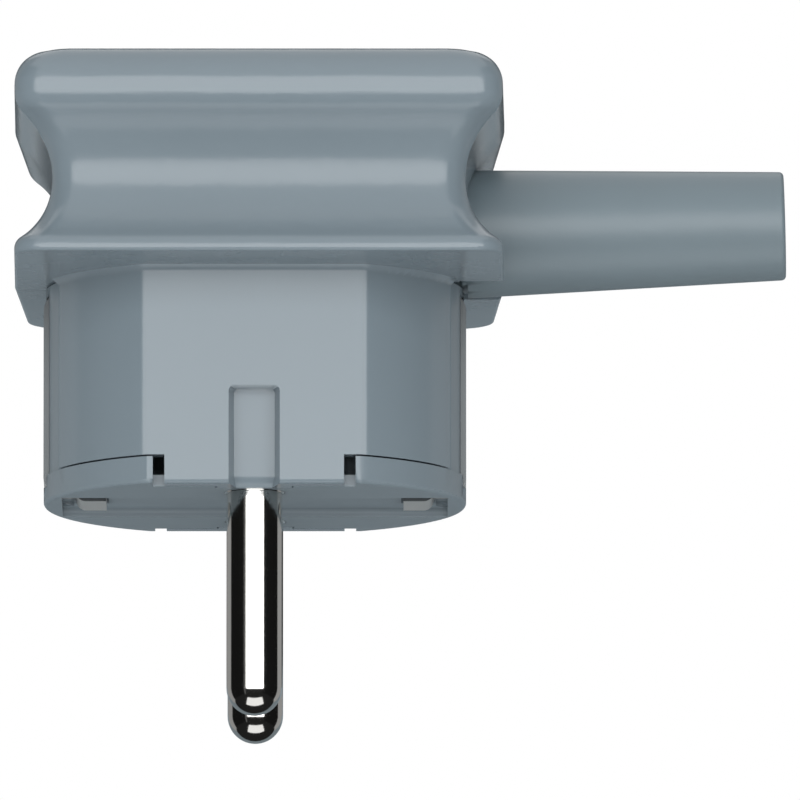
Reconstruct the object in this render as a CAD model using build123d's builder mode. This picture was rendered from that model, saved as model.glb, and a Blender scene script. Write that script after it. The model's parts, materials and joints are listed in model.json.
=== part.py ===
from build123d import *
import math
import os

# An angled, rewireable type F plug: two shells screwed together on the plane through the sleeve,
# a contact carrier held between them, and the cord hardware inside. All lengths are in millimetres.
# Origin: centre of the plug's face, on its axis. +Z runs from the pins to the grip, +X to the sleeve,
# and the front shell is on the -Y side.

os.makedirs("parts", exist_ok=True)

# The part that enters the socket
BODY_RADIUS = 18.2
FLAT_DISTANCE = 15.7
FACE_EDGE = 0.4
RIM_HEIGHT = 2.35
RIM_WALL = 1.8
SHELL_WALL = 1.9
SEAM = 0.15

# Tongue of each shell that runs down to the face, and the guide groove in it
TONGUE_WIDTH = 15.4
TONGUE_GAP = 1.0
GROOVE_WIDTH = 4.4
GROOVE_FLOOR_WIDTH = 3.5
GROOVE_HEIGHT = 8.5
GROOVE_DEPTH = 2.0
GROOVE_BACK = 1.0
GROOVE_LEAD = 0.9
GROOVE_CORNER = 0.5

# Face of the carrier
PLATE_THICKNESS = 1.0
TRENCH_EDGE = 1.6
TRENCH_WIDTH = 12.4
TRENCH_DEPTH = 0.8
POCKET_LENGTH = 1.0
POCKET_WIDTH = 9.8
WINDOW_LENGTH = 3.0
WINDOW_FIT = 0.2

# Pins
PIN_RADIUS = 2.4
PIN_SPACING = 19.0
PIN_LENGTH = 19.3
PIN_FIT = 0.05
PIN_ROOT_RADIUS = 2.6
PIN_COLLAR_RADIUS = 2.8
PIN_COLLAR_HEIGHT = 1.2
PIN_COLLAR_SEAT = 8.0
PIN_TAIL_RADIUS = 1.6
PIN_TAIL_DEPTH = 2.8

# Contact carrier
BLOCK_LENGTH = 13.2
BLOCK_WIDTH = 24.8
BLOCK_TOP = 11.0
BLOCK_CORNER = 2.0
COLUMN_RADIUS = 18.0
COLUMN_WIDTH = 13.7
COLUMN_DEPTH = 3.8
COLUMN_TOP_GAP = 0.15
RIB_WIDTH = 6.8
NIB_WIDTH = 2.0
NIB_HEIGHT = 1.5
NIB_REACH = 0.8
NIB_LEVEL = 5.0
NIB_SPACING = 10.0

# Earth strap, one bent strip
STRAP_WIDTH = 6.0
STRAP_THICKNESS = 0.8
STRAP_FIT = 0.15
STRAP_TOP = 18.3
STRAP_REST = 1.2
STRAP_BEND = 1.2
FOOT_STEP = 3.2
FOOT_LENGTH = 2.2
FOOT_LEVEL = 0.15
FOOT_BEND = 0.45

# Terminals and their screws
TERMINAL_LENGTH = 7.6
TERMINAL_WIDTH = 7.0
TERMINAL_HEIGHT = 8.5
TERMINAL_CORNER = 0.6
WIRE_HOLE = 3.6
WIRE_HOLE_SILL = 3.2
PRESSURE_PLATE = 0.6
PRESSURE_PLATE_LENGTH = 6.4
PRESSURE_PLATE_DROP = 1.2
PRESSURE_PLATE_FIT = 0.1
SCREW_RADIUS = 1.7
THREAD_FIT = 0.05
HEAD_RADIUS = 2.6
HEAD_HEIGHT = 2.0
HEAD_GAP = 1.2
RECESS_WIDTH = 0.8
RECESS_LENGTH = 3.2
RECESS_DEPTH = 1.1
EARTH_SCREW_PLACE = -7.0
EARTH_SCREW_LENGTH = 9.0
WASHER_SIDE = 7.0
WASHER_THICKNESS = 0.8
WASHER_LIP = 0.7

# Cord grip
CORD_RADIUS = 3.5
CORD_PLAY = 0.1
CLAMP_PLACE = 7.7
CLAMP_LENGTH = 4.6
CLAMP_SPAN = 20.4
CLAMP_THICKNESS = 1.4
CLAMP_SCREW_SPACING = 15.2
CLAMP_SCREW_LENGTH = 12.0
POST_RADIUS = 2.5
SADDLE_WIDTH = 12.0

# Grip
HOOD_BOTTOM = 18.9
HOOD_TOP = 36.75
HOOD_WIDTH = 42.2
HOOD_DEPTH = 49.4
FRONT_DRAFT = 0.2
REAR_DRAFT = 1.0
HOOD_SHIFT = 0.4
HOOD_WALL = 2.0
FRONT_CORNER = 2.4
REAR_CORNER = 4.2
INNER_CORNER = 1.5
WAIST_DEPTH = 3.2
WAIST_HEIGHT = 25.9
WAIST_RADIUS = 7.0
WAIST_SOFTENING = 1.3
SHOULDER_RADIUS = 2.2
CROWN_RADIUS = 3.2
LIP_EDGE = 0.3
WALL_ROOT = 0.6
ROOT_SLOPE = 45
ROUTE_STEPS = 8
PARTING_GAP = 0.1

# Bend sleeve and its seat between the shells
SLEEVE_REACH = 45.7
SLEEVE_TILT = 1.5
SLEEVE_HEIGHT = 23.3
SLEEVE_ROOT_RADIUS = 5.55
SLEEVE_END_RADIUS = 4.67
SLEEVE_BORE = 3.75
CORD_WAY_PLAY = 0.95
SLEEVE_END_EDGE = 0.4
SLEEVE_START = 13.0
COLLAR_THICKNESS = 1.7
COLLAR_RADIUS = 6.4
NECK_RADIUS = 4.9
NECK_LENGTH = 3.0
SLEEVE_FIT = 0.12
SLEEVE_FLAT = 19.05
SLEEVE_FLAT_END = 18.35
SEAT_MARGIN = 2.2
SEAT_TOP = 31.2

# Shell screws
SHELL_SCREW_SPACING = 21.6
SHELL_SCREW_HEIGHT = 31.3
SHELL_SCREW_RADIUS = 1.5
SHELL_SCREW_LENGTH = 20.0
SHELL_SCREW_SEAT = 10.0
SHELL_BOSS_RADIUS = 2.7
SHELL_BOSS_WALL = 1.2
HEAD_PLAY = 0.2
SCREW_CLEARANCE = 0.2

# Gap under a piece that rests on another, and the tolerance for finding an edge by its level
REST_GAP = 0.05
TOUCH = 0.01

# Sizes that follow from the ones above
inner_radius = BODY_RADIUS - SHELL_WALL
inner_flat = FLAT_DISTANCE - SHELL_WALL
groove_floor = FLAT_DISTANCE - GROOVE_DEPTH
groove_side = (GROOVE_WIDTH + GROOVE_FLOOR_WIDTH) / 4
groove_back = groove_floor - GROOVE_BACK
wall_bottom = RIM_HEIGHT + SEAM
column_top = HOOD_BOTTOM - COLUMN_TOP_GAP
pin_place = PIN_SPACING / 2
rib_top = STRAP_TOP - STRAP_THICKNESS
terminal_base = BLOCK_TOP + REST_GAP
terminal_top = terminal_base + TERMINAL_HEIGHT
wire_floor = terminal_base + WIRE_HOLE_SILL
wire_roof = wire_floor + WIRE_HOLE
trench_end = BODY_RADIUS - TRENCH_EDGE
window_outer = trench_end - POCKET_LENGTH
window_width = STRAP_WIDTH + 2 * WINDOW_FIT
half_chord = math.sqrt(2 * WAIST_RADIUS * WAIST_DEPTH - WAIST_DEPTH**2)
inner_scoop = WAIST_RADIUS + HOOD_WALL
inner_chord = math.sqrt(2 * inner_scoop * WAIST_DEPTH - WAIST_DEPTH**2)
waist_foot = WAIST_HEIGHT - half_chord
waist_head = WAIST_HEIGHT + half_chord
hollow_head = WAIST_HEIGHT + inner_chord
overlap = 2 * CROWN_RADIUS
cavity_floor = HOOD_BOTTOM + HOOD_WALL
cavity_roof = HOOD_TOP - HOOD_WALL
floor_inset = WAIST_DEPTH - inner_scoop + math.sqrt(inner_scoop**2 - (WAIST_HEIGHT - cavity_floor) ** 2)
tilt = math.radians(SLEEVE_TILT)
neck_start = SLEEVE_START + COLLAR_THICKNESS
body_start = neck_start + NECK_LENGTH
cord_way = CORD_RADIUS + CORD_WAY_PLAY
cord_level = SLEEVE_HEIGHT + CLAMP_PLACE * math.tan(tilt)
seat_start = SLEEVE_START - SEAT_MARGIN
seat_width = 2 * (COLLAR_RADIUS + SEAT_MARGIN)
head_hole = HEAD_RADIUS + HEAD_PLAY
earth_head_seat = STRAP_TOP + WASHER_THICKNESS
clamp_head_seat = cord_level + REST_GAP + CLAMP_THICKNESS
screw_hole = SCREW_RADIUS + SCREW_CLEARANCE
sleeve_heading = (math.cos(tilt), 0, math.sin(tilt))
sleeve_axis = Axis(origin=(0, 0, SLEEVE_HEIGHT), direction=sleeve_heading)
sleeve_plane = Plane(origin=(0, 0, SLEEVE_HEIGHT), x_dir=sleeve_heading, z_dir=(0, -1, 0))
both_sides = (-1, 1)
shell_screw_points = [(side * SHELL_SCREW_SPACING / 2, SHELL_SCREW_HEIGHT) for side in both_sides]
post_points = [(CLAMP_PLACE, side * CLAMP_SCREW_SPACING / 2) for side in both_sides]


def close(value, target):
    """True where an edge lies at a level."""
    return abs(value - target) < TOUCH


def body_outline(radius, flat):
    """Round outline of the insert with its two guide flats."""
    with BuildSketch() as outline:
        Circle(radius)
        Rectangle(2 * radius, 2 * flat, mode=Mode.INTERSECT)
    return outline.sketch


def stood_up(point, side, end):
    """A point or heading of a side profile, turned from inset and height onto one corner's diagonal."""
    return Vector(-side * point.X, -end * point.X, point.Y)


def corner_route(profile, side, end):
    """A side profile stood over one corner, the route that the corner's plan is carried along."""
    route = []
    for stretch in profile.edges():
        steps = 1 if stretch.geom_type == GeomType.LINE else ROUTE_STEPS
        points = [stood_up(stretch @ (step / steps), side, end) for step in range(steps + 1)]
        if steps == 1:
            route.append(Line(*points))
        else:
            headings = [stood_up(stretch % place, side, end) for place in (0, 1)]
            route.append(Spline(*points, tangents=headings))
    return Wire(route)


def grip_body(profile, wall, corners):
    """Waisted box of the grip, a wall inside its outer size, its sides drafted from the parting plane."""
    start = profile.vertices().sort_by(Axis.Y)[0]
    half_width = HOOD_WIDTH / 2 - wall - start.X
    half_depth = HOOD_DEPTH / 2 - wall - start.X
    quarters = []
    for end, corner, draft in zip(both_sides, corners, (FRONT_DRAFT, REAR_DRAFT)):
        draft_beyond = draft * overlap / half_depth
        for side in both_sides:
            with BuildPart() as quarter:
                with BuildSketch(Plane.XY.offset(start.Y)) as plan:
                    Polygon(
                        (side * (half_width + draft_beyond), -end * overlap),
                        (side * (half_width - draft), end * half_depth),
                        (-side * overlap, end * half_depth),
                        (-side * overlap, -end * overlap),
                        align=None,
                    )
                    corner_place = (side * HOOD_WIDTH, end * HOOD_DEPTH, start.Y)
                    fillet(plan.vertices().sort_by_distance(corner_place)[0], corner)
                sweep(path=corner_route(profile, side, end), normal=(0, 0, 1))
                split(bisect_by=Plane.XZ, keep=Keep.TOP if end < 0 else Keep.BOTTOM)
                split(bisect_by=Plane.YZ, keep=Keep.TOP if side > 0 else Keep.BOTTOM)
            quarters.append(quarter.part)
    with BuildPart(Location((HOOD_SHIFT, 0, 0))) as body:
        add(quarters)
    return body.part


def sleeve_steps(play):
    """Outer half section of the sleeve along its own axis, grown by its play."""
    return [
        (SLEEVE_START - play, COLLAR_RADIUS + play),
        (neck_start + play, COLLAR_RADIUS + play),
        (neck_start + play, NECK_RADIUS + play),
        (body_start - play, NECK_RADIUS + play),
        (body_start - play, SLEEVE_ROOT_RADIUS + play),
        (SLEEVE_REACH, SLEEVE_END_RADIUS + play),
    ]


def screw(plane, shank_length, shank_radius):
    """Cheese head screw, its head seated on a plane and its shank running back from it."""
    with BuildPart() as fastener:
        with BuildSketch(plane):
            Circle(HEAD_RADIUS)
        extrude(amount=HEAD_HEIGHT)
        with BuildSketch(plane):
            Circle(shank_radius)
        extrude(amount=-shank_length)
        with BuildSketch(plane.offset(HEAD_HEIGHT)):
            Rectangle(RECESS_LENGTH, RECESS_WIDTH)
            Rectangle(RECESS_WIDTH, RECESS_LENGTH)
        extrude(amount=-RECESS_DEPTH, mode=Mode.SUBTRACT)
    return fastener.part


def strap_body(play):
    """Earth strip: a foot in each window, a leg up each side, and across under the cord."""
    half_sheet = STRAP_THICKNESS / 2
    leg = BODY_RADIUS - half_sheet
    foot_level = FOOT_LEVEL + half_sheet
    rest_level = STRAP_REST + half_sheet
    foot_step = BODY_RADIUS - FOOT_STEP
    foot_end = foot_step - FOOT_LENGTH - play
    foot = [(foot_end, foot_level), (foot_step, foot_level), (foot_step, rest_level)]
    right_side = [*foot, (leg, rest_level), (leg, STRAP_TOP - half_sheet)]
    left_side = [(-x, z) for x, z in reversed(right_side)]
    bends = [FOOT_BEND, FOOT_BEND, STRAP_BEND / 2, STRAP_BEND]
    with BuildPart() as strip:
        with BuildSketch(Plane.XZ.offset(STRAP_WIDTH / 2 + play)):
            with BuildLine():
                FilletPolyline(*right_side, *left_side, radius=[*bends, *reversed(bends)])
            trace(line_width=STRAP_THICKNESS + 2 * play)
        extrude(amount=-STRAP_WIDTH - 2 * play)
    return strip.part


# Side profiles of the grip, outside and inside, drawn as inset and height
with BuildLine() as side_profile:
    RadiusArc((LIP_EDGE, HOOD_BOTTOM), (0, HOOD_BOTTOM + LIP_EDGE), LIP_EDGE)
    Line((0, HOOD_BOTTOM + LIP_EDGE), (0, waist_foot))
    ThreePointArc((0, waist_foot), (WAIST_DEPTH, WAIST_HEIGHT), (0, waist_head))
    Line((0, waist_head), (0, HOOD_TOP - CROWN_RADIUS))
    RadiusArc((0, HOOD_TOP - CROWN_RADIUS), (CROWN_RADIUS, HOOD_TOP), CROWN_RADIUS)
    fillet(side_profile.vertices().filter_by(lambda v: close(v.Y, waist_foot)), WAIST_SOFTENING)
    fillet(side_profile.vertices().filter_by(lambda v: close(v.Y, waist_head)), SHOULDER_RADIUS)

with BuildLine() as hollow_profile:
    ThreePointArc((floor_inset, cavity_floor), (WAIST_DEPTH, WAIST_HEIGHT), (0, hollow_head))
    Line((0, hollow_head), (0, cavity_roof))
    fillet(hollow_profile.vertices().filter_by(lambda v: close(v.Y, hollow_head)), WAIST_SOFTENING)

hood_block = grip_body(side_profile, 0, (FRONT_CORNER, REAR_CORNER))
hood_hollow = grip_body(hollow_profile, HOOD_WALL, (INNER_CORNER, INNER_CORNER))

# Passage of the sleeve: its own shape with some play, open down to the underside of the grip
with BuildPart() as passage:
    with BuildSketch(sleeve_plane):
        Polygon(
            (seat_start - SEAT_MARGIN, 0),
            (seat_start - SEAT_MARGIN, cord_way),
            (SLEEVE_START - SLEEVE_FIT, cord_way),
            *sleeve_steps(SLEEVE_FIT),
            (SLEEVE_REACH, 0),
            align=None,
        )
    revolve(axis=sleeve_axis)
    with BuildSketch(Plane.XY.offset(HOOD_BOTTOM - SLEEVE_FIT)):
        with Locations((body_start - SLEEVE_FIT, 0)):
            Rectangle(HOOD_WIDTH / 2, 2 * (SLEEVE_ROOT_RADIUS + SLEEVE_FIT), align=(Align.MIN, Align.CENTER))
        with Locations((neck_start + SLEEVE_FIT, 0)):
            Rectangle(NECK_LENGTH, 2 * (NECK_RADIUS + SLEEVE_FIT), align=(Align.MIN, Align.CENTER))
    extrude(amount=SLEEVE_HEIGHT - HOOD_BOTTOM)

# Block behind the side wall that holds the sleeve's collar
with BuildPart() as seat_block:
    with BuildSketch(Plane.XY.offset(SLEEVE_FLAT)):
        with Locations((seat_start, 0)):
            Rectangle(HOOD_WIDTH / 2 + HOOD_SHIFT - seat_start, seat_width, align=(Align.MIN, Align.CENTER))
    extrude(amount=SEAT_TOP - SLEEVE_FLAT)
    add(hood_block, mode=Mode.INTERSECT)

# Bosses of the shell screws, wider round the sunk heads, trimmed to the waisted walls
with BuildPart() as screw_bosses:
    with BuildSketch(Plane.XZ.offset((HOOD_DEPTH - HOOD_WALL) / 2)):
        with Locations(*shell_screw_points):
            Circle(SHELL_BOSS_RADIUS)
    extrude(amount=HOOD_WALL - HOOD_DEPTH)
    with BuildSketch(Plane.XZ.offset((HOOD_WALL - HOOD_DEPTH) / 2)):
        with Locations(*shell_screw_points):
            Circle(head_hole + SHELL_BOSS_WALL)
    extrude(amount=(HOOD_DEPTH - HOOD_WALL) / 2 - SHELL_SCREW_SEAT + SHELL_BOSS_WALL)
    add(hood_block, mode=Mode.INTERSECT)

# Bevel where the wall round the carrier meets the underside of the grip, open at the columns
with BuildPart() as wall_root:
    with BuildSketch(Plane.XY.offset(HOOD_BOTTOM - WALL_ROOT)):
        add(body_outline(BODY_RADIUS, FLAT_DISTANCE))
    extrude(amount=WALL_ROOT, taper=-ROOT_SLOPE)
    with BuildSketch(Plane.XY.offset(HOOD_BOTTOM - WALL_ROOT)):
        add(body_outline(inner_radius, inner_flat))
        Rectangle(2 * (BODY_RADIUS + WALL_ROOT), COLUMN_WIDTH + 2 * SEAM)
    extrude(amount=WALL_ROOT, mode=Mode.SUBTRACT)

# Both shells as one body: grip, wall round the carrier, tongues, bosses and the seat of the sleeve
with BuildPart() as casing:
    add(hood_block)
    add(hood_hollow, mode=Mode.SUBTRACT)
    with BuildSketch(Plane.XY.offset(HOOD_BOTTOM)):
        add(body_outline(inner_radius, inner_flat))
    extrude(amount=HOOD_WALL, mode=Mode.SUBTRACT)
    # Wall round the carrier, open at the carrier's columns
    with BuildSketch(Plane.XY.offset(wall_bottom)):
        add(body_outline(BODY_RADIUS, FLAT_DISTANCE))
        add(body_outline(inner_radius, inner_flat), mode=Mode.SUBTRACT)
        Rectangle(2 * BODY_RADIUS, COLUMN_WIDTH + 2 * SEAM, mode=Mode.SUBTRACT)
    extrude(amount=HOOD_BOTTOM - wall_bottom)
    add(wall_root.part)
    # Tongues, with a thicker wall behind each guide groove
    with BuildSketch():
        with Locations(*[(0, side * (inner_flat + SHELL_WALL / 2)) for side in both_sides]):
            Rectangle(TONGUE_WIDTH, SHELL_WALL)
    extrude(amount=wall_bottom)
    with BuildSketch():
        with Locations(*[(0, side * (groove_back + inner_flat) / 2) for side in both_sides]):
            Rectangle(GROOVE_WIDTH + 2 * GROOVE_BACK, inner_flat - groove_back)
    extrude(amount=GROOVE_HEIGHT + GROOVE_BACK)
    foot_edges = casing.edges().filter_by(Axis.X).filter_by(lambda e: close(e.center().Z, 0))
    fillet(foot_edges.filter_by(lambda e: close(abs(e.center().Y), FLAT_DISTANCE)), FACE_EDGE)
    # Guide grooves, open at the face, with a lead at the foot
    with BuildSketch():
        for side in both_sides:
            Polygon(
                (-GROOVE_WIDTH / 2, side * FLAT_DISTANCE),
                (GROOVE_WIDTH / 2, side * FLAT_DISTANCE),
                (GROOVE_FLOOR_WIDTH / 2, side * groove_floor),
                (-GROOVE_FLOOR_WIDTH / 2, side * groove_floor),
                align=None,
            )
    extrude(amount=GROOVE_HEIGHT, mode=Mode.SUBTRACT)
    groove_tops = casing.edges().filter_by(lambda e: close(e.center().Z, GROOVE_HEIGHT))
    fillet(groove_tops.filter_by(lambda e: close(abs(e.center().X), groove_side)), GROOVE_CORNER)
    foot_edges = casing.edges().filter_by(Axis.X).filter_by(lambda e: close(e.center().Z, 0))
    chamfer(foot_edges.filter_by(lambda e: close(abs(e.center().Y), groove_floor)), GROOVE_LEAD)
    # Nibs that carry the contact carrier
    with BuildSketch(Plane.XY.offset(NIB_LEVEL)):
        nib_rows = [(x * NIB_SPACING / 2, y * inner_flat) for x in both_sides for y in both_sides]
        with Locations(*nib_rows):
            Rectangle(NIB_WIDTH, 2 * (NIB_REACH + SEAM))
    extrude(amount=NIB_HEIGHT)
    add(screw_bosses.part)
    add(seat_block.part)
    add(passage.part, mode=Mode.SUBTRACT)

# Front shell: the half towards -Y, with blind pilot holes for the shell screws
with BuildPart() as front_shell:
    add(casing.part)
    split(bisect_by=Plane.XZ.offset(PARTING_GAP / 2), keep=Keep.TOP)
    with BuildSketch(Plane.XZ):
        with Locations(*shell_screw_points):
            Circle(SHELL_SCREW_RADIUS)
    extrude(amount=SHELL_SCREW_LENGTH - SHELL_SCREW_SEAT + SCREW_CLEARANCE, mode=Mode.SUBTRACT)
front_shell.part.label = "front_shell"
export_step(front_shell.part, "parts/front_shell.step")

# Rear shell: the half towards +Y, with the sunk holes of the shell screws
with BuildPart() as rear_shell:
    add(casing.part)
    split(bisect_by=Plane.XZ.offset(-PARTING_GAP / 2), keep=Keep.BOTTOM)
    with BuildSketch(Plane.XZ):
        with Locations(*shell_screw_points):
            Circle(SHELL_SCREW_RADIUS + SCREW_CLEARANCE)
    extrude(amount=-HOOD_DEPTH / 2, mode=Mode.SUBTRACT)
    with BuildSketch(Plane.XZ.offset(-SHELL_SCREW_SEAT)):
        with Locations(*shell_screw_points):
            Circle(head_hole)
    extrude(amount=-HOOD_DEPTH / 2, mode=Mode.SUBTRACT)
rear_shell.part.label = "rear_shell"
export_step(rear_shell.part, "parts/rear_shell.step")

# Contact carrier: face plate with its rim, block round the pins, rib and columns for the strap,
# and the posts and saddle of the cord grip
with BuildPart() as contact_carrier:
    with BuildSketch():
        add(body_outline(BODY_RADIUS, FLAT_DISTANCE))
    extrude(amount=PLATE_THICKNESS)
    rim_edges = contact_carrier.faces().sort_by(Axis.Z)[0].edges()
    fillet(rim_edges, FACE_EDGE)
    with BuildSketch(Plane.XY.offset(PLATE_THICKNESS)):
        add(body_outline(BODY_RADIUS, FLAT_DISTANCE))
        add(body_outline(BODY_RADIUS - RIM_WALL, FLAT_DISTANCE - RIM_WALL), mode=Mode.SUBTRACT)
    extrude(amount=RIM_HEIGHT - PLATE_THICKNESS)
    # Thicker floor under the trench
    with BuildSketch(Plane.XY.offset(PLATE_THICKNESS)):
        add(body_outline(BODY_RADIUS, FLAT_DISTANCE))
        Rectangle(2 * BODY_RADIUS, COLUMN_WIDTH, mode=Mode.INTERSECT)
    extrude(amount=RIM_HEIGHT - PLATE_THICKNESS)
    with BuildSketch(Plane.XY.offset(PLATE_THICKNESS)):
        RectangleRounded(BLOCK_LENGTH, BLOCK_WIDTH, BLOCK_CORNER)
    extrude(amount=BLOCK_TOP - PLATE_THICKNESS)
    with BuildSketch(Plane.XY.offset(PLATE_THICKNESS)):
        Rectangle(2 * (BODY_RADIUS - COLUMN_DEPTH), RIB_WIDTH)
    extrude(amount=rib_top - PLATE_THICKNESS)
    with BuildSketch(Plane.XY.offset(RIM_HEIGHT)):
        Circle(COLUMN_RADIUS)
        Rectangle(2 * BODY_RADIUS, COLUMN_WIDTH, mode=Mode.INTERSECT)
        Rectangle(2 * (BODY_RADIUS - COLUMN_DEPTH), COLUMN_WIDTH, mode=Mode.SUBTRACT)
    extrude(amount=column_top - RIM_HEIGHT)
    # Posts and saddle of the cord grip
    with BuildSketch(Plane.XY.offset(PLATE_THICKNESS)):
        with Locations(*post_points):
            Circle(POST_RADIUS)
    extrude(amount=cord_level - PLATE_THICKNESS)
    with BuildSketch(Plane.XY.offset(rib_top)):
        with Locations((CLAMP_PLACE, 0)):
            Rectangle(CLAMP_LENGTH, SADDLE_WIDTH)
    extrude(amount=cord_level - rib_top)
    with BuildSketch(sleeve_plane):
        with Locations((CLAMP_PLACE, 0)):
            Rectangle(2 * CLAMP_LENGTH, CORD_RADIUS + CORD_PLAY, align=(Align.CENTER, Align.MIN))
    revolve(axis=sleeve_axis, mode=Mode.SUBTRACT)
    # Channel of the earth strap: the strip's own route with some play
    add(strap_body(STRAP_FIT), mode=Mode.SUBTRACT)
    # Trench across the face, with a window over each foot of the strap and a pocket beside it
    with BuildSketch():
        Rectangle(2 * trench_end, TRENCH_WIDTH)
    extrude(amount=TRENCH_DEPTH, mode=Mode.SUBTRACT)
    with BuildSketch():
        for side in both_sides:
            with Locations((side * (window_outer - WINDOW_LENGTH / 2), 0)):
                Rectangle(WINDOW_LENGTH, window_width)
    extrude(amount=STRAP_REST + STRAP_THICKNESS + STRAP_FIT, mode=Mode.SUBTRACT)
    with BuildSketch():
        for side in both_sides:
            with Locations((side * (window_outer + POCKET_LENGTH / 2), 0)):
                Rectangle(POCKET_LENGTH, POCKET_WIDTH)
    extrude(amount=STRAP_REST, mode=Mode.SUBTRACT)
    # Notches for the tongues of the shells
    with BuildSketch():
        for side in both_sides:
            with Locations((0, side * (inner_flat - SEAM))):
                place = (Align.CENTER, Align.MIN if side > 0 else Align.MAX)
                Rectangle(TONGUE_WIDTH + 2 * TONGUE_GAP, SHELL_WALL + 2 * SEAM, align=place)
            with Locations((0, side * (groove_back - SEAM))):
                place = (Align.CENTER, Align.MIN if side > 0 else Align.MAX)
                Rectangle(GROOVE_WIDTH + 2 * (GROOVE_BACK + SEAM), SHELL_WALL, align=place)
    extrude(amount=GROOVE_HEIGHT + GROOVE_BACK + SEAM, mode=Mode.SUBTRACT)
    with BuildSketch(Plane.XY.offset(NIB_LEVEL - SEAM)):
        with Locations(*nib_rows):
            Rectangle(NIB_WIDTH + 2 * SEAM, 2 * (NIB_REACH + 2 * SEAM))
    extrude(amount=NIB_HEIGHT + 2 * SEAM, mode=Mode.SUBTRACT)
    # Bores of the pins and of the screws
    with Locations(*[(0, side * pin_place, PIN_COLLAR_SEAT) for side in both_sides]):
        Cylinder(PIN_ROOT_RADIUS + PIN_FIT, 2 * PIN_COLLAR_SEAT, mode=Mode.SUBTRACT)
        collar_bore = (Align.CENTER, Align.CENTER, Align.MIN)
        Cylinder(PIN_COLLAR_RADIUS + PIN_FIT, BLOCK_TOP, align=collar_bore, mode=Mode.SUBTRACT)
    with BuildSketch(Plane.XY.offset(earth_head_seat)):
        with Locations((EARTH_SCREW_PLACE, 0)):
            Circle(SCREW_RADIUS + THREAD_FIT)
    extrude(amount=-EARTH_SCREW_LENGTH - SCREW_CLEARANCE, mode=Mode.SUBTRACT)
    with BuildSketch(Plane.XY.offset(clamp_head_seat)):
        with Locations(*post_points):
            Circle(SCREW_RADIUS + THREAD_FIT)
    extrude(amount=-CLAMP_SCREW_LENGTH - SCREW_CLEARANCE, mode=Mode.SUBTRACT)
contact_carrier.part.label = "contact_carrier"
export_step(contact_carrier.part, "parts/contact_carrier.step")

# Pins, turned in one piece: domed shaft, thicker root in the carrier, collar that stops there, and the
# tail for the terminal
with BuildPart() as pin:
    with BuildSketch(Plane.XZ):
        with BuildLine():
            RadiusArc((0, -PIN_LENGTH), (PIN_RADIUS, PIN_RADIUS - PIN_LENGTH), -PIN_RADIUS)
            Polyline(
                (PIN_RADIUS, PIN_RADIUS - PIN_LENGTH),
                (PIN_RADIUS, 0),
                (PIN_ROOT_RADIUS, 0),
                (PIN_ROOT_RADIUS, PIN_COLLAR_SEAT),
                (PIN_COLLAR_RADIUS, PIN_COLLAR_SEAT),
                (PIN_COLLAR_RADIUS, PIN_COLLAR_SEAT + PIN_COLLAR_HEIGHT),
                (PIN_TAIL_RADIUS, PIN_COLLAR_SEAT + PIN_COLLAR_HEIGHT),
                (PIN_TAIL_RADIUS, terminal_base + PIN_TAIL_DEPTH),
                (0, terminal_base + PIN_TAIL_DEPTH),
                (0, -PIN_LENGTH),
            )
        make_face()
    revolve(axis=Axis.Z)

# Terminal block: a hole for the pin's tail below, a square way for the wire, and the screw's thread above
with BuildPart() as terminal:
    with BuildSketch(Plane.XY.offset(terminal_base)):
        RectangleRounded(TERMINAL_LENGTH, TERMINAL_WIDTH, TERMINAL_CORNER)
    extrude(amount=TERMINAL_HEIGHT)
    with BuildSketch(Plane.YZ.offset(-TERMINAL_LENGTH)):
        with Locations((0, (wire_floor + wire_roof) / 2)):
            Rectangle(WIRE_HOLE, WIRE_HOLE)
    extrude(amount=2 * TERMINAL_LENGTH, mode=Mode.SUBTRACT)
    with BuildSketch(Plane.XY.offset(terminal_base)):
        Circle(PIN_TAIL_RADIUS + PIN_FIT)
    extrude(amount=PIN_TAIL_DEPTH + PIN_FIT, mode=Mode.SUBTRACT)
    with BuildSketch(Plane.XY.offset(wire_roof)):
        Circle(SCREW_RADIUS + THREAD_FIT)
    extrude(amount=TERMINAL_HEIGHT, mode=Mode.SUBTRACT)

with BuildPart() as pressure_plate:
    with BuildSketch(Plane.XY.offset(wire_roof - PRESSURE_PLATE_DROP)):
        Rectangle(PRESSURE_PLATE_LENGTH, WIRE_HOLE - 2 * PRESSURE_PLATE_FIT)
    extrude(amount=-PRESSURE_PLATE)

terminal_screw_length = HEAD_GAP + terminal_top - wire_roof + PRESSURE_PLATE_DROP
terminal_screw = screw(Plane.XY.offset(terminal_top + HEAD_GAP), terminal_screw_length, SCREW_RADIUS)

for pole, side in (("line", -1), ("neutral", 1)):
    pieces = {"pin": pin.part, "terminal": terminal.part, "pressure_plate": pressure_plate.part}
    pieces["terminal_screw"] = terminal_screw
    for piece_name, shape in pieces.items():
        with BuildPart() as pole_piece:
            with Locations((0, side * pin_place)):
                add(shape)
        pole_piece.part.label = pole + "_" + piece_name
        export_step(pole_piece.part, "parts/" + pole_piece.part.label + ".step")

# Earth strap: across the carrier under the cord, down both sides as the side contacts, and a foot
# stepped into each window of the face
with BuildPart() as earth_strap:
    add(strap_body(0))
    with BuildSketch(Plane.XY.offset(rib_top)):
        with Locations((EARTH_SCREW_PLACE, 0)):
            Circle(screw_hole)
    extrude(amount=2 * STRAP_THICKNESS, mode=Mode.SUBTRACT)
earth_strap.part.label = "earth_strap"
export_step(earth_strap.part, "parts/earth_strap.step")

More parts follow.
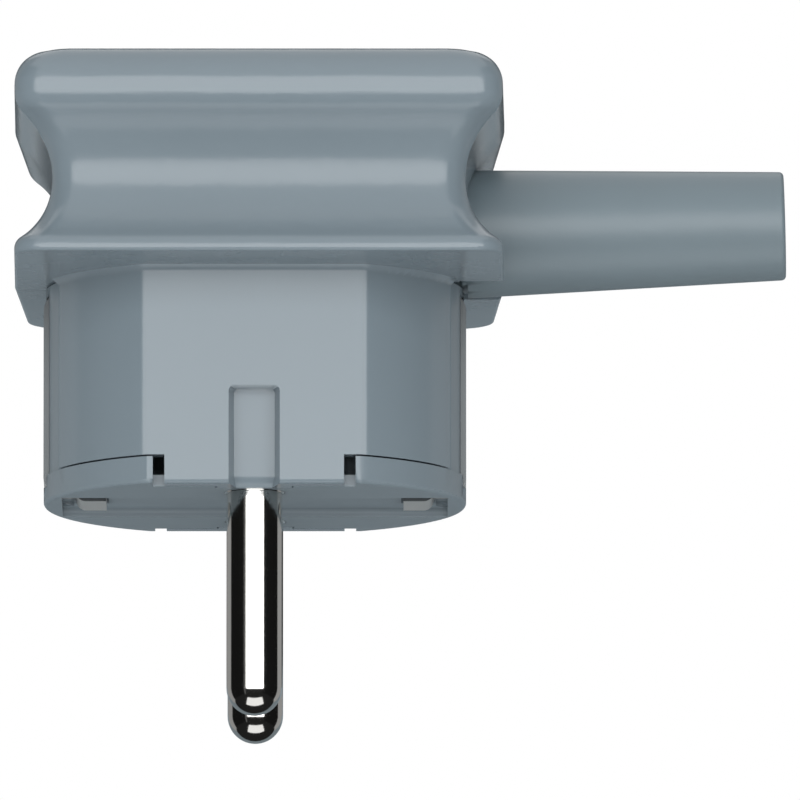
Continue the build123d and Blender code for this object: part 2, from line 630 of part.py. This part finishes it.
# Clamp washer with two turned-up lips that keep the wire under it
with BuildPart() as earth_clamp_washer:
    with BuildSketch(Plane.XY.offset(STRAP_TOP)):
        with Locations((EARTH_SCREW_PLACE, 0)):
            RectangleRounded(WASHER_SIDE, WASHER_SIDE, TERMINAL_CORNER)
            Circle(screw_hole, mode=Mode.SUBTRACT)
    extrude(amount=WASHER_THICKNESS)
    lip_place = (WASHER_SIDE - WASHER_LIP) / 2
    with BuildSketch(Plane.XY.offset(earth_head_seat)):
        with Locations((EARTH_SCREW_PLACE, -lip_place), (EARTH_SCREW_PLACE, lip_place)):
            Rectangle(WASHER_SIDE - 2 * TERMINAL_CORNER, WASHER_LIP)
    extrude(amount=WASHER_THICKNESS)
earth_clamp_washer.part.label = "earth_clamp_washer"
export_step(earth_clamp_washer.part, "parts/earth_clamp_washer.step")

with BuildPart() as earth_terminal_screw:
    add(screw(Plane((EARTH_SCREW_PLACE, 0, earth_head_seat)), EARTH_SCREW_LENGTH, SCREW_RADIUS))
earth_terminal_screw.part.label = "earth_terminal_screw"
export_step(earth_terminal_screw.part, "parts/earth_terminal_screw.step")

# Cord clamp: a flat bar arched over the cord, screwed down on the two posts
with BuildPart() as cord_clamp:
    with BuildSketch(Plane.YZ.offset(CLAMP_PLACE - CLAMP_LENGTH / 2)):
        with Locations((0, cord_level)):
            Circle(CORD_RADIUS + CLAMP_THICKNESS)
        with Locations((0, cord_level + REST_GAP)):
            Rectangle(CLAMP_SPAN, CLAMP_THICKNESS, align=(Align.CENTER, Align.MIN))
        with Locations((0, cord_level)):
            Circle(CORD_RADIUS, mode=Mode.SUBTRACT)
        with Locations((0, cord_level + REST_GAP)):
            Rectangle(CLAMP_SPAN, CLAMP_SPAN, align=(Align.CENTER, Align.MAX), mode=Mode.SUBTRACT)
    extrude(amount=CLAMP_LENGTH)
    bar_ends = cord_clamp.edges().filter_by(Axis.Z).group_by(Axis.Y)
    fillet(bar_ends[0] + bar_ends[-1], CLAMP_THICKNESS)
    with BuildSketch(Plane.XY.offset(cord_level)):
        with Locations(*post_points):
            Circle(screw_hole)
    extrude(amount=2 * CLAMP_THICKNESS, mode=Mode.SUBTRACT)
cord_clamp.part.label = "cord_clamp"
export_step(cord_clamp.part, "parts/cord_clamp.step")

for post_name, (post_x, post_y) in zip(("front", "rear"), post_points):
    with BuildPart() as cord_clamp_screw:
        add(screw(Plane((post_x, post_y, clamp_head_seat)), CLAMP_SCREW_LENGTH, SCREW_RADIUS))
    cord_clamp_screw.part.label = "cord_clamp_screw_" + post_name
    export_step(cord_clamp_screw.part, "parts/" + cord_clamp_screw.part.label + ".step")

# Bend sleeve: collar held in the seat, neck in the wall, tapered tube outside
with BuildPart() as bend_sleeve:
    with BuildSketch(sleeve_plane):
        Polygon((SLEEVE_START, SLEEVE_BORE), *sleeve_steps(0), (SLEEVE_REACH, SLEEVE_BORE), align=None)
    revolve(axis=sleeve_axis)
    end_edges = bend_sleeve.edges().filter_by(GeomType.CIRCLE).sort_by(Axis.X)[-2:]
    fillet(end_edges.sort_by(SortBy.RADIUS)[-1], SLEEVE_END_EDGE)
    with BuildSketch(Plane.XY.offset(SLEEVE_FLAT)):
        Rectangle(SLEEVE_FLAT_END, HOOD_DEPTH, align=(Align.MIN, Align.CENTER))
    extrude(amount=-HOOD_DEPTH, mode=Mode.SUBTRACT)
bend_sleeve.part.label = "bend_sleeve"
export_step(bend_sleeve.part, "parts/bend_sleeve.step")

for screw_name, (screw_x, screw_z) in zip(("left", "right"), shell_screw_points):
    head_seat = Plane(origin=(screw_x, SHELL_SCREW_SEAT, screw_z), x_dir=(1, 0, 0), z_dir=(0, 1, 0))
    with BuildPart() as shell_screw:
        add(screw(head_seat, SHELL_SCREW_LENGTH, SHELL_SCREW_RADIUS - THREAD_FIT))
    shell_screw.part.label = "shell_screw_" + screw_name
    export_step(shell_screw.part, "parts/" + shell_screw.part.label + ".step")
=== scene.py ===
import bpy
import json
import math
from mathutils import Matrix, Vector


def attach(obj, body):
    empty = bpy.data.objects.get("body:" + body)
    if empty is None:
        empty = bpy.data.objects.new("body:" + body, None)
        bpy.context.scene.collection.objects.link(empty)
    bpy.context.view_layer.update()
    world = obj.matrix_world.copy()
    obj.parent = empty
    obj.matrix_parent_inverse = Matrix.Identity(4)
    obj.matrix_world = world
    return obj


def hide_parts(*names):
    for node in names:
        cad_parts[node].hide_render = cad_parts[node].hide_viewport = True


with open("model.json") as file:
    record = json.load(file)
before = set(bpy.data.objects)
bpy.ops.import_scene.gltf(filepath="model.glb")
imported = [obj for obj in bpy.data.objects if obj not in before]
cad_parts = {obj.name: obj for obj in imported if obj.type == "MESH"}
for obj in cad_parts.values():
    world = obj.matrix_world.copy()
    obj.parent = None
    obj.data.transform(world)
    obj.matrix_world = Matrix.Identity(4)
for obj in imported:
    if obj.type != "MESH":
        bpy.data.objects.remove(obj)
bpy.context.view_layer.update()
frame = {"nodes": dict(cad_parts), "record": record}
nodes = frame["nodes"]

# The photograph looks along the line of the two pins, from a little below, through a long lens.
# FIELD is the width of the picture at the plug. The floor lies well below the plug.
LOOK_UP = math.radians(7.85)
AIM = Vector((0.0125, 0.0, 0.00936))
FIELD = 0.06897
LENS = 1500.0
SENSOR = 36.0
NEAREST_SEEN = 0.01
FARTHEST_SEEN = 30.0
FLOOR_LEVEL = -0.32
FLOOR_WIDTH = 8.0

# Colours of the plug
SHELL_COLOUR = (0.18, 0.225, 0.255, 1.0)
SLEEVE_COLOUR = (0.154, 0.199, 0.224, 1.0)
CLAMP_COLOUR = (0.25, 0.28, 0.3, 1.0)
NICKEL_COLOUR = (0.83, 0.82, 0.79, 1.0)
STRAP_COLOUR = (0.72, 0.71, 0.68, 1.0)
# Painted shade: the strip's cut edges take this darker colour, standing for the dark line along the strap
CUT_EDGE_PAINTED_SHADE = (0.11, 0.12, 0.125, 1.0)
CUT_EDGE_ROUGHNESS = 0.45
BRASS_COLOUR = (0.76, 0.56, 0.26, 1.0)
ZINC_COLOUR = (0.62, 0.63, 0.64, 1.0)

# Colours and light of the studio
WHITE = (1.0, 1.0, 1.0, 1.0)
BLACK = (0.0, 0.0, 0.0, 1.0)
FLOOR_COLOUR = (0.95, 0.95, 0.95, 1.0)
NEUTRAL = (1.0, 1.0, 1.0)
COOL = (0.84, 1.0, 1.1)
ROOM_LIGHT = 0.43

# Corners that lie this close are one, faces that turn less than this are one flat,
# and edges that turn less than this are shaded smooth
SAME_CORNER = 0.0000005
FLAT_ANGLE = math.radians(0.4)
SMOOTH_ANGLE = math.radians(25.0)

# The front shell's parting face lies this far before the middle plane, and carries a low lip
PARTING_FACE = 0.00005
PARTING_PLAY = 0.00002
LIP_MARGIN = 0.0006
LIP_HEIGHT = 0.000097

# Places of the Mix node's sockets, which share their names
FIRST_VALUE = 2
SECOND_VALUE = 3
FIRST_COLOUR = 6
SECOND_COLOUR = 7
MIXED_VALUE = 0
MIXED_COLOUR = 2


def deselect_all():
    for thing in bpy.context.selected_objects:
        thing.select_set(False)


# Camera

camera_data = bpy.data.cameras.new("camera")
camera_data.lens = LENS
camera_data.sensor_width = SENSOR
camera_data.clip_start = NEAREST_SEEN
camera_data.clip_end = FARTHEST_SEEN
camera = bpy.data.objects.new("camera", camera_data)
bpy.context.scene.collection.objects.link(camera)
to_camera = Vector((0.0, -math.cos(LOOK_UP), -math.sin(LOOK_UP)))
camera.location = AIM + to_camera * (FIELD / SENSOR * LENS)
camera.rotation_euler = (-to_camera).to_track_quat("-Z", "Y").to_euler()
bpy.context.scene.camera = camera
bpy.context.scene.view_settings.view_transform = "Standard"


# Surface effects shared by several finishes

def new_group(name, inputs, outputs):
    """A shader group with named sockets, each input given as kind, name and value."""
    group = bpy.data.node_groups.new(name, "ShaderNodeTree")
    for kind, label, value in inputs:
        socket = group.interface.new_socket(label, in_out="INPUT", socket_type=kind)
        socket.default_value = value
    for kind, label in outputs:
        group.interface.new_socket(label, in_out="OUTPUT", socket_type=kind)
    entry = group.nodes.new("NodeGroupInput")
    leave = group.nodes.new("NodeGroupOutput")
    return group, entry, leave


def place_node(tree, kind, **settings):
    """A node put into a tree, with its own settings."""
    node = tree.nodes.new(kind)
    for name, value in settings.items():
        setattr(node, name, value)
    return node


def place_noise(group, where, scale, detail):
    """A cloud pattern read at the given place."""
    noise = place_node(group, "ShaderNodeTexNoise")
    noise.inputs["Scale"].default_value = scale
    noise.inputs["Detail"].default_value = detail
    group.links.new(where, noise.inputs["Vector"])
    return noise


def place_bump(group, distance, strength, height):
    """A relief of the given depth."""
    bump = place_node(group, "ShaderNodeBump")
    bump.inputs["Distance"].default_value = distance
    group.links.new(strength, bump.inputs["Strength"])
    group.links.new(height, bump.inputs["Height"])
    return bump


def place_sum(group, factor, amount, start):
    """The start, with the factor times the amount added to it."""
    total = place_node(group, "ShaderNodeMath", operation="MULTIPLY_ADD")
    group.links.new(factor, total.inputs[0])
    group.links.new(amount, total.inputs[1])
    if isinstance(start, float):
        total.inputs[2].default_value = start
    else:
        group.links.new(start, total.inputs[2])
    return total


def centred_pattern(group, pattern):
    """A pattern moved down by half, so that it swings about nothing."""
    centred = place_node(group, "ShaderNodeMath", operation="SUBTRACT")
    centred.inputs[1].default_value = 0.5
    group.links.new(pattern.outputs["Fac"], centred.inputs[0])
    return centred


def shaded_colour(group, colour, amount):
    """The colour made lighter or darker by an amount."""
    tint = place_node(group, "ShaderNodeVectorMath", operation="SCALE")
    group.links.new(colour, tint.inputs[0])
    group.links.new(amount, tint.inputs["Scale"])
    return tint


def moulded_skin_group():
    """Injection-moulded surface: a faint cloudiness of colour, uneven polish and a shallow ripple."""
    group, entry, leave = new_group(
        "moulded_skin",
        [
            ("NodeSocketColor", "Colour", (0.2, 0.2, 0.2, 1.0)),
            ("NodeSocketFloat", "Clouding", 0.05),
            ("NodeSocketFloat", "Gloss", 0.2),
            ("NodeSocketFloat", "Gloss change", 0.06),
            ("NodeSocketFloat", "Ripple", 0.05),
            ("NodeSocketFloat", "Grain", 0.02),
        ],
        [
            ("NodeSocketColor", "Colour"),
            ("NodeSocketFloat", "Roughness"),
            ("NodeSocketVector", "Normal"),
        ],
    )
    link = group.links.new
    where = place_node(group, "ShaderNodeTexCoord").outputs["Object"]

    clouds = centred_pattern(group, place_noise(group, where, scale=90.0, detail=3.0))
    shade = place_sum(group, clouds.outputs[0], entry.outputs["Clouding"], start=1.0)
    tint = shaded_colour(group, entry.outputs["Colour"], shade.outputs[0])
    link(tint.outputs[0], leave.inputs["Colour"])

    patches = place_noise(group, where, scale=240.0, detail=6.0)
    patches.inputs["Roughness"].default_value = 0.6
    dullness = centred_pattern(group, patches)
    polish = place_sum(group, dullness.outputs[0], entry.outputs["Gloss change"], start=entry.outputs["Gloss"])
    link(polish.outputs[0], leave.inputs["Roughness"])

    wave = place_noise(group, where, scale=160.0, detail=1.0)
    fine = place_noise(group, where, scale=2600.0, detail=2.0)
    ripple = place_bump(group, 0.0004, entry.outputs["Ripple"], wave.outputs["Fac"])
    grain = place_bump(group, 0.00002, entry.outputs["Grain"], fine.outputs["Fac"])
    link(ripple.outputs["Normal"], grain.inputs["Normal"])
    link(grain.outputs["Normal"], leave.inputs["Normal"])
    return group


def worked_metal_group():
    """Plated or turned metal: fine lines along one direction, and a tarnish that comes and goes."""
    group, entry, leave = new_group(
        "worked_metal",
        [
            ("NodeSocketColor", "Colour", (0.7, 0.7, 0.7, 1.0)),
            ("NodeSocketFloat", "Tarnish", 0.1),
            ("NodeSocketFloat", "Gloss", 0.15),
            ("NodeSocketFloat", "Gloss change", 0.1),
            ("NodeSocketVector", "Line scale", (200.0, 200.0, 9000.0)),
            ("NodeSocketFloat", "Line depth", 0.05),
        ],
        [
            ("NodeSocketColor", "Colour"),
            ("NodeSocketFloat", "Roughness"),
            ("NodeSocketVector", "Normal"),
        ],
    )
    link = group.links.new
    where = place_node(group, "ShaderNodeTexCoord").outputs["Object"]

    stretched = place_node(group, "ShaderNodeVectorMath", operation="MULTIPLY")
    link(where, stretched.inputs[0])
    link(entry.outputs["Line scale"], stretched.inputs[1])
    lines = place_noise(group, stretched.outputs[0], scale=1.0, detail=4.0)
    scratches = place_bump(group, 0.00002, entry.outputs["Line depth"], lines.outputs["Fac"])
    link(scratches.outputs["Normal"], leave.inputs["Normal"])

    stains = place_noise(group, where, scale=320.0, detail=5.0)
    dulled = place_node(group, "ShaderNodeMath", operation="MULTIPLY")
    link(stains.outputs["Fac"], dulled.inputs[0])
    link(entry.outputs["Tarnish"], dulled.inputs[1])
    kept = place_node(group, "ShaderNodeMath", operation="SUBTRACT")
    kept.inputs[0].default_value = 1.0
    link(dulled.outputs[0], kept.inputs[1])
    tint = shaded_colour(group, entry.outputs["Colour"], kept.outputs[0])
    link(tint.outputs[0], leave.inputs["Colour"])

    polish = place_sum(group, lines.outputs["Fac"], entry.outputs["Gloss change"], start=entry.outputs["Gloss"])
    link(polish.outputs[0], leave.inputs["Roughness"])
    return group


moulded_skin = moulded_skin_group()
worked_metal = worked_metal_group()


def finish_material(name, effect, values, metallic=0.0):
    """One finish: a principled surface fed by a shared effect with this finish's own values."""
    material = bpy.data.materials.new(name)
    material.use_nodes = True
    tree = material.node_tree
    surface = tree.nodes["Principled BSDF"]
    surface.inputs["Metallic"].default_value = metallic
    surface.inputs["IOR"].default_value = 1.5
    skin = tree.nodes.new("ShaderNodeGroup")
    skin.node_tree = effect
    for label, value in values.items():
        skin.inputs[label].default_value = value
    tree.links.new(skin.outputs["Colour"], surface.inputs["Base Color"])
    tree.links.new(skin.outputs["Roughness"], surface.inputs["Roughness"])
    tree.links.new(skin.outputs["Normal"], surface.inputs["Normal"])
    return material


shell_finish = finish_material(
    "glossy_shell_plastic",
    moulded_skin,
    {"Colour": SHELL_COLOUR, "Clouding": 0.05, "Gloss": 0.2, "Gloss change": 0.05, "Ripple": 0.006, "Grain": 0.02},
)
carrier_finish = finish_material(
    "carrier_plastic",
    moulded_skin,
    {"Colour": SHELL_COLOUR, "Clouding": 0.05, "Gloss": 0.3, "Gloss change": 0.06, "Ripple": 0.005, "Grain": 0.02},
)
sleeve_finish = finish_material(
    "satin_sleeve_plastic",
    moulded_skin,
    {"Colour": SLEEVE_COLOUR, "Clouding": 0.08, "Gloss": 0.38, "Gloss change": 0.1, "Ripple": 0.05, "Grain": 0.25},
)
clamp_finish = finish_material(
    "clamp_plastic",
    moulded_skin,
    {"Colour": CLAMP_COLOUR, "Clouding": 0.1, "Gloss": 0.45, "Gloss change": 0.1, "Ripple": 0.05, "Grain": 0.3},
)
pin_finish = finish_material(
    "bright_nickel",
    worked_metal,
    {"Colour": NICKEL_COLOUR, "Tarnish": 0.06, "Gloss": 0.07, "Gloss change": 0.06, "Line depth": 0.04},
    metallic=1.0,
)
strap_finish = finish_material(
    "nickel_strip",
    worked_metal,
    {
        "Colour": STRAP_COLOUR,
        "Tarnish": 0.15,
        "Gloss": 0.26,
        "Gloss change": 0.12,
        "Line scale": (200.0, 6000.0, 200.0),
        "Line depth": 0.1,
    },
    metallic=0.7,
)


def roughen_cut_edges_and_paint_shade(material, shade, roughness):
    """The sheared edges of a strip, which face along Y, are given a rougher finish and a darker colour; the darker
    colour is painted shade for the dark line along the strap's edges.
    """
    tree = material.node_tree
    link = tree.links.new
    surface = tree.nodes["Principled BSDF"]
    rolled_colour = surface.inputs["Base Color"].links[0].from_socket
    rolled_roughness = surface.inputs["Roughness"].links[0].from_socket
    place = place_node(tree, "ShaderNodeTexCoord")
    parts = place_node(tree, "ShaderNodeSeparateXYZ")
    link(place.outputs["Normal"], parts.inputs[0])
    facing = place_node(tree, "ShaderNodeMath", operation="ABSOLUTE")
    link(parts.outputs["Y"], facing.inputs[0])
    cut = place_node(tree, "ShaderNodeMath", operation="GREATER_THAN")
    cut.inputs[1].default_value = 0.8
    link(facing.outputs[0], cut.inputs[0])
    # Painted shade: the cut edges take the darker colour in place of the strip's own
    colours = place_node(tree, "ShaderNodeMix", data_type="RGBA")
    colours.inputs[SECOND_COLOUR].default_value = shade
    link(cut.outputs[0], colours.inputs["Factor"])
    link(rolled_colour, colours.inputs[FIRST_COLOUR])
    link(colours.outputs[MIXED_COLOUR], surface.inputs["Base Color"])
    roughnesses = place_node(tree, "ShaderNodeMix", data_type="FLOAT")
    roughnesses.inputs[SECOND_VALUE].default_value = roughness
    link(cut.outputs[0], roughnesses.inputs["Factor"])
    link(rolled_roughness, roughnesses.inputs[FIRST_VALUE])
    link(roughnesses.outputs[MIXED_VALUE], surface.inputs["Roughness"])


# Painted shade on the strap's cut edges, with a rougher finish there
roughen_cut_edges_and_paint_shade(strap_finish, CUT_EDGE_PAINTED_SHADE, CUT_EDGE_ROUGHNESS)
brass_finish = finish_material(
    "milled_brass",
    worked_metal,
    {"Colour": BRASS_COLOUR, "Tarnish": 0.25, "Gloss": 0.2, "Gloss change": 0.15, "Line depth": 0.15},
    metallic=1.0,
)
screw_finish = finish_material(
    "zinc_plated_steel",
    worked_metal,
    {"Colour": ZINC_COLOUR, "Tarnish": 0.2, "Gloss": 0.22, "Gloss change": 0.15, "Line depth": 0.15},
    metallic=1.0,
)


# Pieces

def add_lip(piece):
    """A low rib along the middle of the front shell's parting face, which keeps light from showing through."""
    bpy.ops.object.mode_set(mode="EDIT")
    bpy.ops.mesh.select_mode(type="FACE")
    bpy.ops.mesh.select_all(action="DESELECT")
    bpy.ops.object.mode_set(mode="OBJECT")
    for face in piece.data.polygons:
        on_parting = abs(face.center.y + PARTING_FACE) < PARTING_PLAY
        face.select = on_parting and face.normal.y > 0.99
    bpy.ops.object.mode_set(mode="EDIT")
    bpy.ops.mesh.inset(thickness=LIP_MARGIN, use_boundary=True, use_even_offset=False)
    bpy.ops.mesh.extrude_region_move(TRANSFORM_OT_translate={"value": (0.0, LIP_HEIGHT, 0.0)})
    bpy.ops.mesh.select_all(action="SELECT")


def smoothed_piece(node_name, material, flats_joined):
    """A copy of a node with its corners joined and its curves shaded smooth, standing for the node."""
    piece = bpy.data.objects.new(node_name + "_surface", nodes[node_name].data.copy())
    bpy.context.scene.collection.objects.link(piece)
    deselect_all()
    piece.select_set(True)
    bpy.context.view_layer.objects.active = piece
    bpy.ops.object.mode_set(mode="EDIT")
    bpy.ops.mesh.select_all(action="SELECT")
    bpy.ops.mesh.remove_doubles(threshold=SAME_CORNER)
    if node_name == "front_shell":
        add_lip(piece)
    if flats_joined:
        bpy.ops.mesh.dissolve_limited(angle_limit=FLAT_ANGLE)
    bpy.ops.object.mode_set(mode="OBJECT")
    bpy.ops.object.shade_smooth_by_angle(angle=SMOOTH_ANGLE)
    weighting = piece.modifiers.new("weighted", "WEIGHTED_NORMAL")
    weighting.weight = 100
    weighting.keep_sharp = True
    bpy.ops.object.modifier_apply(modifier=weighting.name)
    piece.data.materials.clear()
    piece.data.materials.append(material)
    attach(piece, "root")
    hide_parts(node_name)


# Node, finish, slot, and whether its flats are joined before it is shaded
smoothed = (
    ("front_shell", shell_finish, "shell_plastic", True),
    ("rear_shell", shell_finish, "shell_plastic", True),
    ("contact_carrier", carrier_finish, "carrier_plastic", False),
    ("bend_sleeve", sleeve_finish, "sleeve_plastic", False),
    ("line_pin", pin_finish, "pin_nickel", True),
    ("neutral_pin", pin_finish, "pin_nickel", True),
    ("earth_strap", strap_finish, "strap_nickel", False),
)
for node_name, material, slot_name, flats_joined in smoothed:
    smoothed_piece(node_name, material, flats_joined)

# The hidden pieces keep their own meshes
finish_of_slot = {"clamp_plastic": clamp_finish, "brass": brass_finish, "plated_steel": screw_finish}
for entry in frame["record"]["subparts"]:
    material = finish_of_slot.get(entry["material_slot"])
    if material:
        mesh = nodes[entry["node"]].data
        mesh.materials.clear()
        mesh.materials.append(material)


# Floor, backdrop and light

def white_to_the_eye(tree, plain_shader):
    """Camera, mirror and glass rays meet plain white, and other rays meet the plain shader."""
    path = tree.nodes.new("ShaderNodeLightPath")
    either = place_node(tree, "ShaderNodeMath", operation="MAXIMUM")
    every = place_node(tree, "ShaderNodeMath", operation="MAXIMUM")
    tree.links.new(path.outputs["Is Camera Ray"], either.inputs[0])
    tree.links.new(path.outputs["Is Glossy Ray"], either.inputs[1])
    tree.links.new(either.outputs[0], every.inputs[0])
    tree.links.new(path.outputs["Is Transmission Ray"], every.inputs[1])
    mix = tree.nodes.new("ShaderNodeMixShader")
    tree.links.new(every.outputs[0], mix.inputs["Fac"])
    tree.links.new(plain_shader, mix.inputs[1])
    return mix


world = bpy.data.worlds.new("studio")
bpy.context.scene.world = world
world.use_nodes = True
world_tree = world.node_tree
world_plain = world_tree.nodes["Background"]
world_plain.inputs["Color"].default_value = WHITE
world_plain.inputs["Strength"].default_value = ROOM_LIGHT
world_seen = world_tree.nodes.new("ShaderNodeBackground")
world_seen.inputs["Color"].default_value = WHITE
world_seen.inputs["Strength"].default_value = 1.0
world_mix = white_to_the_eye(world_tree, world_plain.outputs[0])
world_tree.links.new(world_seen.outputs[0], world_mix.inputs[2])
world_tree.links.new(world_mix.outputs[0], world_tree.nodes["World Output"].inputs["Surface"])

deselect_all()
bpy.ops.mesh.primitive_plane_add(size=FLOOR_WIDTH, location=(0.0, 0.0, FLOOR_LEVEL))
floor = bpy.context.object
floor.name = "floor"
floor_finish = bpy.data.materials.new("pale_floor")
floor_finish.use_nodes = True
floor_tree = floor_finish.node_tree
floor_surface = floor_tree.nodes["Principled BSDF"]
floor_surface.inputs["Base Color"].default_value = FLOOR_COLOUR
floor_surface.inputs["Roughness"].default_value = 0.9
# From below, as in the photograph's view, the floor isn't seen
floor_see_through = floor_tree.nodes.new("ShaderNodeBsdfTransparent")
floor_geometry = floor_tree.nodes.new("ShaderNodeNewGeometry")
floor_mix = floor_tree.nodes.new("ShaderNodeMixShader")
floor_tree.links.new(floor_geometry.outputs["Backfacing"], floor_mix.inputs["Fac"])
floor_tree.links.new(floor_surface.outputs[0], floor_mix.inputs[1])
floor_tree.links.new(floor_see_through.outputs[0], floor_mix.inputs[2])
floor_tree.links.new(floor_mix.outputs[0], floor_tree.nodes["Material Output"].inputs["Surface"])
floor.data.materials.append(floor_finish)


def direction(azimuth, elevation):
    """The way out from the plug, in degrees round from the front towards +X and up from level."""
    side = math.radians(azimuth)
    lift = math.radians(elevation)
    return Vector((math.sin(side) * math.cos(lift), -math.cos(side) * math.cos(lift), math.sin(lift)))


def softbox(name, azimuth, elevation, distance, width, height, power, mirrored=False):
    """A rectangular lamp aimed at the plug, which reflections meet only where it is mirrored."""
    lamp_data = bpy.data.lights.new(name, "AREA")
    lamp_data.shape = "RECTANGLE"
    lamp_data.size = width
    lamp_data.size_y = height
    lamp_data.energy = power
    lamp = bpy.data.objects.new(name, lamp_data)
    bpy.context.scene.collection.objects.link(lamp)
    away = direction(azimuth, elevation)
    lamp.location = AIM + away * distance
    lamp.rotation_euler = (-away).to_track_quat("-Z", "Y").to_euler()
    lamp.visible_camera = False
    lamp.visible_glossy = mirrored


def screen(name, azimuth, elevation, distance, width, height, shade, tint=NEUTRAL):
    """A grey or black screen round the plug, met only by reflections, as a photographer stands one up."""
    bpy.ops.mesh.primitive_plane_add(size=1.0)
    card = bpy.context.object
    card.name = name
    away = direction(azimuth, elevation)
    card.scale = (width, height, 1.0)
    card.rotation_euler = (-away).to_track_quat("Z", "Y").to_euler()
    card.location = AIM + away * distance
    finish = bpy.data.materials.new(name)
    finish.use_nodes = True
    surface = finish.node_tree.nodes["Principled BSDF"]
    surface.inputs["Base Color"].default_value = BLACK
    surface.inputs["Specular IOR Level"].default_value = 0.0
    surface.inputs["Emission Color"].default_value = (shade * tint[0], shade * tint[1], shade * tint[2], 1.0)
    surface.inputs["Emission Strength"].default_value = 1.0
    card.data.materials.append(finish)
    card.visible_camera = False
    card.visible_diffuse = False
    card.visible_shadow = False


# Screens: azimuth, elevation, distance, width, height, shade.
# Black beside the lamp, a grey band behind each side, and black straight behind.
screen("left_screen", -75.0, 0.0, 0.5, 0.78, 1.6, 0.008)
screen("right_screen", 75.0, 0.0, 0.5, 0.78, 1.6, 0.008)
screen("left_gap", -41.5, 0.0, 0.5, 0.05, 1.0, 0.11)
screen("left_rear_screen", -133.0, 0.0, 0.5, 0.4, 1.6, 0.3)
screen("right_rear_screen", 133.0, 0.0, 0.5, 0.4, 1.6, 0.32)
screen("rear_screen", 180.0, 19.5, 0.5, 0.56, 0.27, 0.04)
# A dark table, pale just below the pins and grey behind, and a grey horizon
screen("table", 0.0, -90.0, 0.3, 3.0, 3.0, 0.015)
screen("table_under_pins", 0.0, -68.0, 0.26, 0.26, 0.16, 1.0)
screen("table_behind", 180.0, -24.0, 0.4, 0.9, 0.34, 0.22, COOL)
screen("horizon", 180.0, -1.5, 0.42, 0.6, 0.085, 0.3, COOL)

# Lamps: azimuth, elevation, distance, width, height, power.
# One is seen in the plug's gloss, and the others only fill its shadows.
softbox("front_box", 2.0, 6.0, 0.6, 0.86, 0.37, 2.7, mirrored=True)
softbox("overhead", 0.0, 70.0, 0.7, 0.8, 0.6, 0.7)
softbox("low_fill", 0.0, -28.0, 0.6, 0.8, 0.5, 0.8)
softbox("rear_fill", 180.0, 38.0, 0.9, 0.8, 0.6, 2.2)
softbox("left_fill", -97.0, 4.0, 0.7, 0.5, 0.5, 0.9)
softbox("right_fill", 100.0, 4.0, 0.7, 0.5, 0.5, 0.15)
